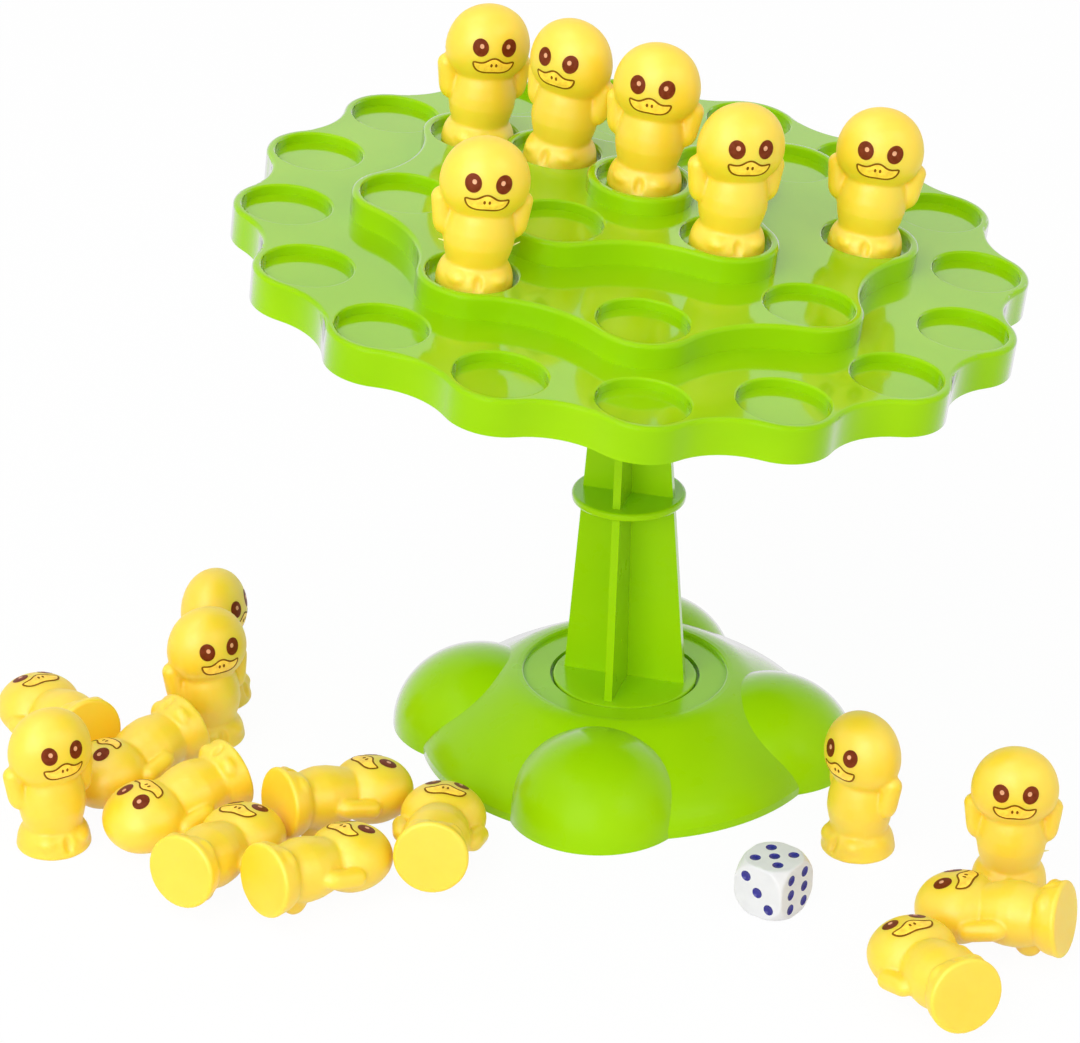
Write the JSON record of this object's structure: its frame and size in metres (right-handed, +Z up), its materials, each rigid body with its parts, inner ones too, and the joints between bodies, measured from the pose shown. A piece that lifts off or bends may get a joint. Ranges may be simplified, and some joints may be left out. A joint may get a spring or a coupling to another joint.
{
  "type": "balancing tree game",
  "caption": "Balancing game: a lobed base and finned trunk carry a tiered tray of round cups that rocks on a ball tip, with duck figures and a die.",
  "frame": {"origin": "centre of the base's underside, on the surface that the game stands on", "axes": "+Z up along the trunk, -Y towards the front, +X to the right seen from the front"},
  "size_m": [0.2599, 0.2317, 0.1832],
  "materials": {
    "game_green": "glossy",
    "cap_white": "satin",
    "duck_yellow": "satin",
    "die_white": "satin"
  },
  "bodies": {
    "base": {"base": "game_green"},
    "trunk": {"trunk": "game_green"},
    "pivot_cap": {"pivot_cap": "cap_white"},
    "tray": {"tray": "game_green"},
    "duck_01": {"duck_01": "duck_yellow"},
    "duck_02": {"duck_02": "duck_yellow"},
    "duck_03": {"duck_03": "duck_yellow"},
    "duck_04": {"duck_04": "duck_yellow"},
    "duck_05": {"duck_05": "duck_yellow"},
    "duck_06": {"duck_06": "duck_yellow"},
    "duck_07": {"duck_07": "duck_yellow"},
    "duck_08": {"duck_08": "duck_yellow"},
    "duck_09": {"duck_09": "duck_yellow"},
    "duck_10": {"duck_10": "duck_yellow"},
    "duck_11": {"duck_11": "duck_yellow"},
    "duck_12": {"duck_12": "duck_yellow"},
    "duck_13": {"duck_13": "duck_yellow"},
    "duck_14": {"duck_14": "duck_yellow"},
    "duck_15": {"duck_15": "duck_yellow"},
    "duck_16": {"duck_16": "duck_yellow"},
    "duck_17": {"duck_17": "duck_yellow"},
    "duck_18": {"duck_18": "duck_yellow"},
    "duck_19": {"duck_19": "duck_yellow"},
    "duck_20": {"duck_20": "duck_yellow"},
    "die": {"die": "die_white"}
  },
  "joints": [
    {"name": "trunk_turn", "type": "hinge", "parent": "base", "child": "trunk", "pos_m": [0, 0, 0], "axis": [0, 0, 1], "continuous": true},
    {"name": "tray_rock_front", "type": "hinge", "parent": "trunk", "child": "pivot_cap", "pos_m": [0, 0, 0.137], "axis": [1, 0, 0], "range_deg": [-15.3, 8.7]},
    {"name": "tray_rock_side", "type": "hinge", "parent": "pivot_cap", "child": "tray", "pos_m": [0, 0, 0.137], "axis": [0, 0.9983, 0.0581], "range_deg": [-17.8, 6.2]},
    {"name": "duck_01_lift", "type": "slide", "parent": "tray", "child": "duck_01", "axis": [0.1011, -0.0578, 0.9932], "range_m": [0, 0.04]},
    {"name": "duck_02_lift", "type": "slide", "parent": "tray", "child": "duck_02", "axis": [0.1011, -0.0578, 0.9932], "range_m": [0, 0.04]},
    {"name": "duck_03_lift", "type": "slide", "parent": "tray", "child": "duck_03", "axis": [0.1011, -0.0578, 0.9932], "range_m": [0, 0.04]},
    {"name": "duck_04_lift", "type": "slide", "parent": "tray", "child": "duck_04", "axis": [0.1011, -0.0578, 0.9932], "range_m": [0, 0.04]},
    {"name": "duck_05_lift", "type": "slide", "parent": "tray", "child": "duck_05", "axis": [0.1011, -0.0578, 0.9932], "range_m": [0, 0.04]},
    {"name": "duck_06_lift", "type": "slide", "parent": "tray", "child": "duck_06", "axis": [0.1011, -0.0578, 0.9932], "range_m": [0, 0.04]},
    {"name": "duck_07_lift", "type": "slide", "parent": "base", "child": "duck_07", "axis": [0, 0, 1], "range_m": [0, 0.05]},
    {"name": "duck_08_lift", "type": "slide", "parent": "base", "child": "duck_08", "axis": [0, 0, 1], "range_m": [0, 0.05]},
    {"name": "duck_09_lift", "type": "slide", "parent": "base", "child": "duck_09", "axis": [0, 0, 1], "range_m": [0, 0.05]},
    {"name": "duck_10_lift", "type": "slide", "parent": "base", "child": "duck_10", "axis": [0, 0, 1], "range_m": [0, 0.05]},
    {"name": "duck_11_lift", "type": "slide", "parent": "base", "child": "duck_11", "axis": [0, 0, 1], "range_m": [0, 0.05]},
    {"name": "duck_12_lift", "type": "slide", "parent": "base", "child": "duck_12", "axis": [0, 0, 1], "range_m": [0, 0.05]},
    {"name": "duck_13_lift", "type": "slide", "parent": "base", "child": "duck_13", "axis": [0, 0, 1], "range_m": [0, 0.05]},
    {"name": "duck_14_lift", "type": "slide", "parent": "base", "child": "duck_14", "axis": [0, 0, 1], "range_m": [0, 0.05]},
    {"name": "duck_15_lift", "type": "slide", "parent": "base", "child": "duck_15", "axis": [0, 0, 1], "range_m": [0, 0.05]},
    {"name": "duck_16_lift", "type": "slide", "parent": "base", "child": "duck_16", "axis": [0, 0, 1], "range_m": [0, 0.05]},
    {"name": "duck_17_lift", "type": "slide", "parent": "base", "child": "duck_17", "axis": [0, 0, 1], "range_m": [0, 0.05]},
    {"name": "duck_18_lift", "type": "slide", "parent": "base", "child": "duck_18", "axis": [0, 0, 1], "range_m": [0, 0.05]},
    {"name": "duck_19_lift", "type": "slide", "parent": "base", "child": "duck_19", "axis": [0, 0, 1], "range_m": [0, 0.05]},
    {"name": "duck_20_lift", "type": "slide", "parent": "base", "child": "duck_20", "axis": [0, 0, 1], "range_m": [0, 0.05]},
    {"name": "die_lift", "type": "slide", "parent": "base", "child": "die", "axis": [0, 0, 1], "range_m": [0, 0.05]}
  ]
}
